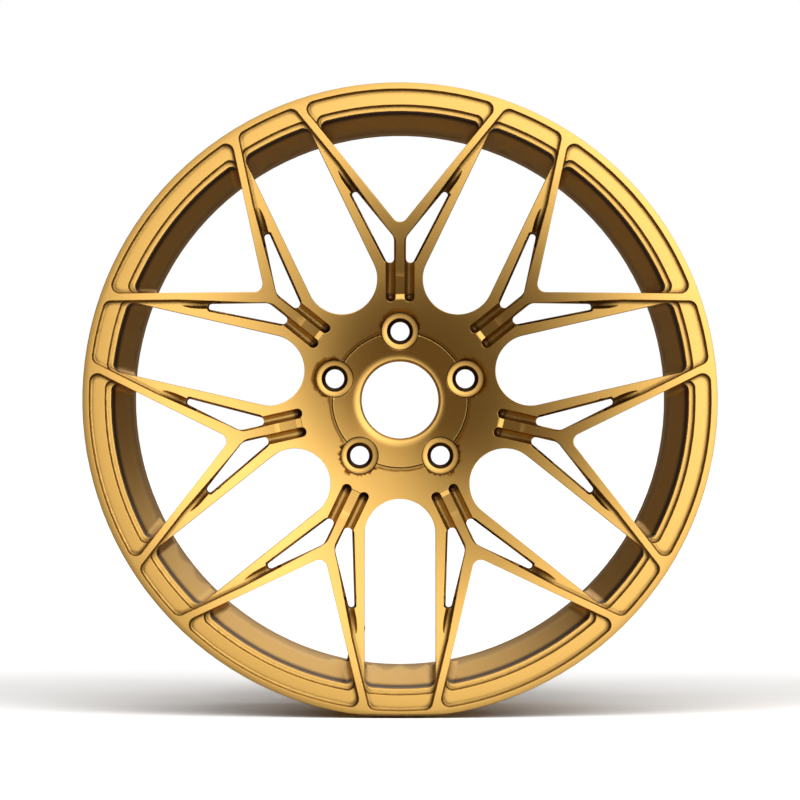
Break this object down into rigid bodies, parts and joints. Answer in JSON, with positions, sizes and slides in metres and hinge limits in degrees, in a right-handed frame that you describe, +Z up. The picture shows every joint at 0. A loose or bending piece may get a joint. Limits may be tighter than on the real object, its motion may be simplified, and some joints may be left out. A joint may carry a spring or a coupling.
{
  "type": "forged racing wheel rim",
  "caption": "One-piece forged racing wheel rim with split Y spokes, open windows, pressed-in lug seats and a bolt-in tyre valve.",
  "frame": {"origin": "centre of the wheel: on its axis, midway between the two flanges' outer faces", "axes": "+Y along the wheel's axis towards the car (the back of the wheel), -Y out of its front face, +Z up through the top spoke, +X to the right seen from the front"},
  "size_m": [0.522, 0.24, 0.522],
  "materials": {
    "bronze_gold_finish": "satin metallic bronze-gold paint",
    "seat_insert": "satin metallic bronze-gold paint over steel",
    "valve_metal": "black anodised",
    "valve_brass": "plain",
    "spring_steel": "drawn wire",
    "valve_rubber": "matte",
    "cap_metal": "black anodised, knurled"
  },
  "bodies": {
    "wheel": {"forged_rim": "bronze_gold_finish", "forged_hub": "bronze_gold_finish", "forged_spoke_1": "bronze_gold_finish", "forged_spoke_2": "bronze_gold_finish", "forged_spoke_3": "bronze_gold_finish", "forged_spoke_4": "bronze_gold_finish", "forged_spoke_5": "bronze_gold_finish", "forged_spoke_6": "bronze_gold_finish", "forged_spoke_7": "bronze_gold_finish", "lug_seat_insert_1": "seat_insert", "lug_seat_insert_2": "seat_insert", "lug_seat_insert_3": "seat_insert", "lug_seat_insert_4": "seat_insert", "lug_seat_insert_5": "seat_insert", "valve_stem": "valve_metal", "valve_grommet": "valve_rubber", "valve_washer": "valve_metal", "valve_nut": "valve_metal", "valve_core_body": "valve_brass"},
    "valve_pin": {"valve_core_pin": "valve_brass", "valve_core_seal": "valve_rubber", "valve_core_spring": "spring_steel"},
    "valve_cap": {"valve_cap": "cap_metal", "valve_cap_seal": "valve_rubber"}
  },
  "joints": [
    {"name": "valve_pin_press", "type": "slide", "parent": "wheel", "child": "valve_pin", "axis": [-0.1756, 0, -0.9845], "range_m": [0, 0.0015], "stiffness_N_per_m": 400, "springref_m": -0.003},
    {"name": "valve_cap_off", "type": "slide", "parent": "wheel", "child": "valve_cap", "axis": [0.1756, 0, 0.9845], "range_m": [0, 0.012]}
  ]
}
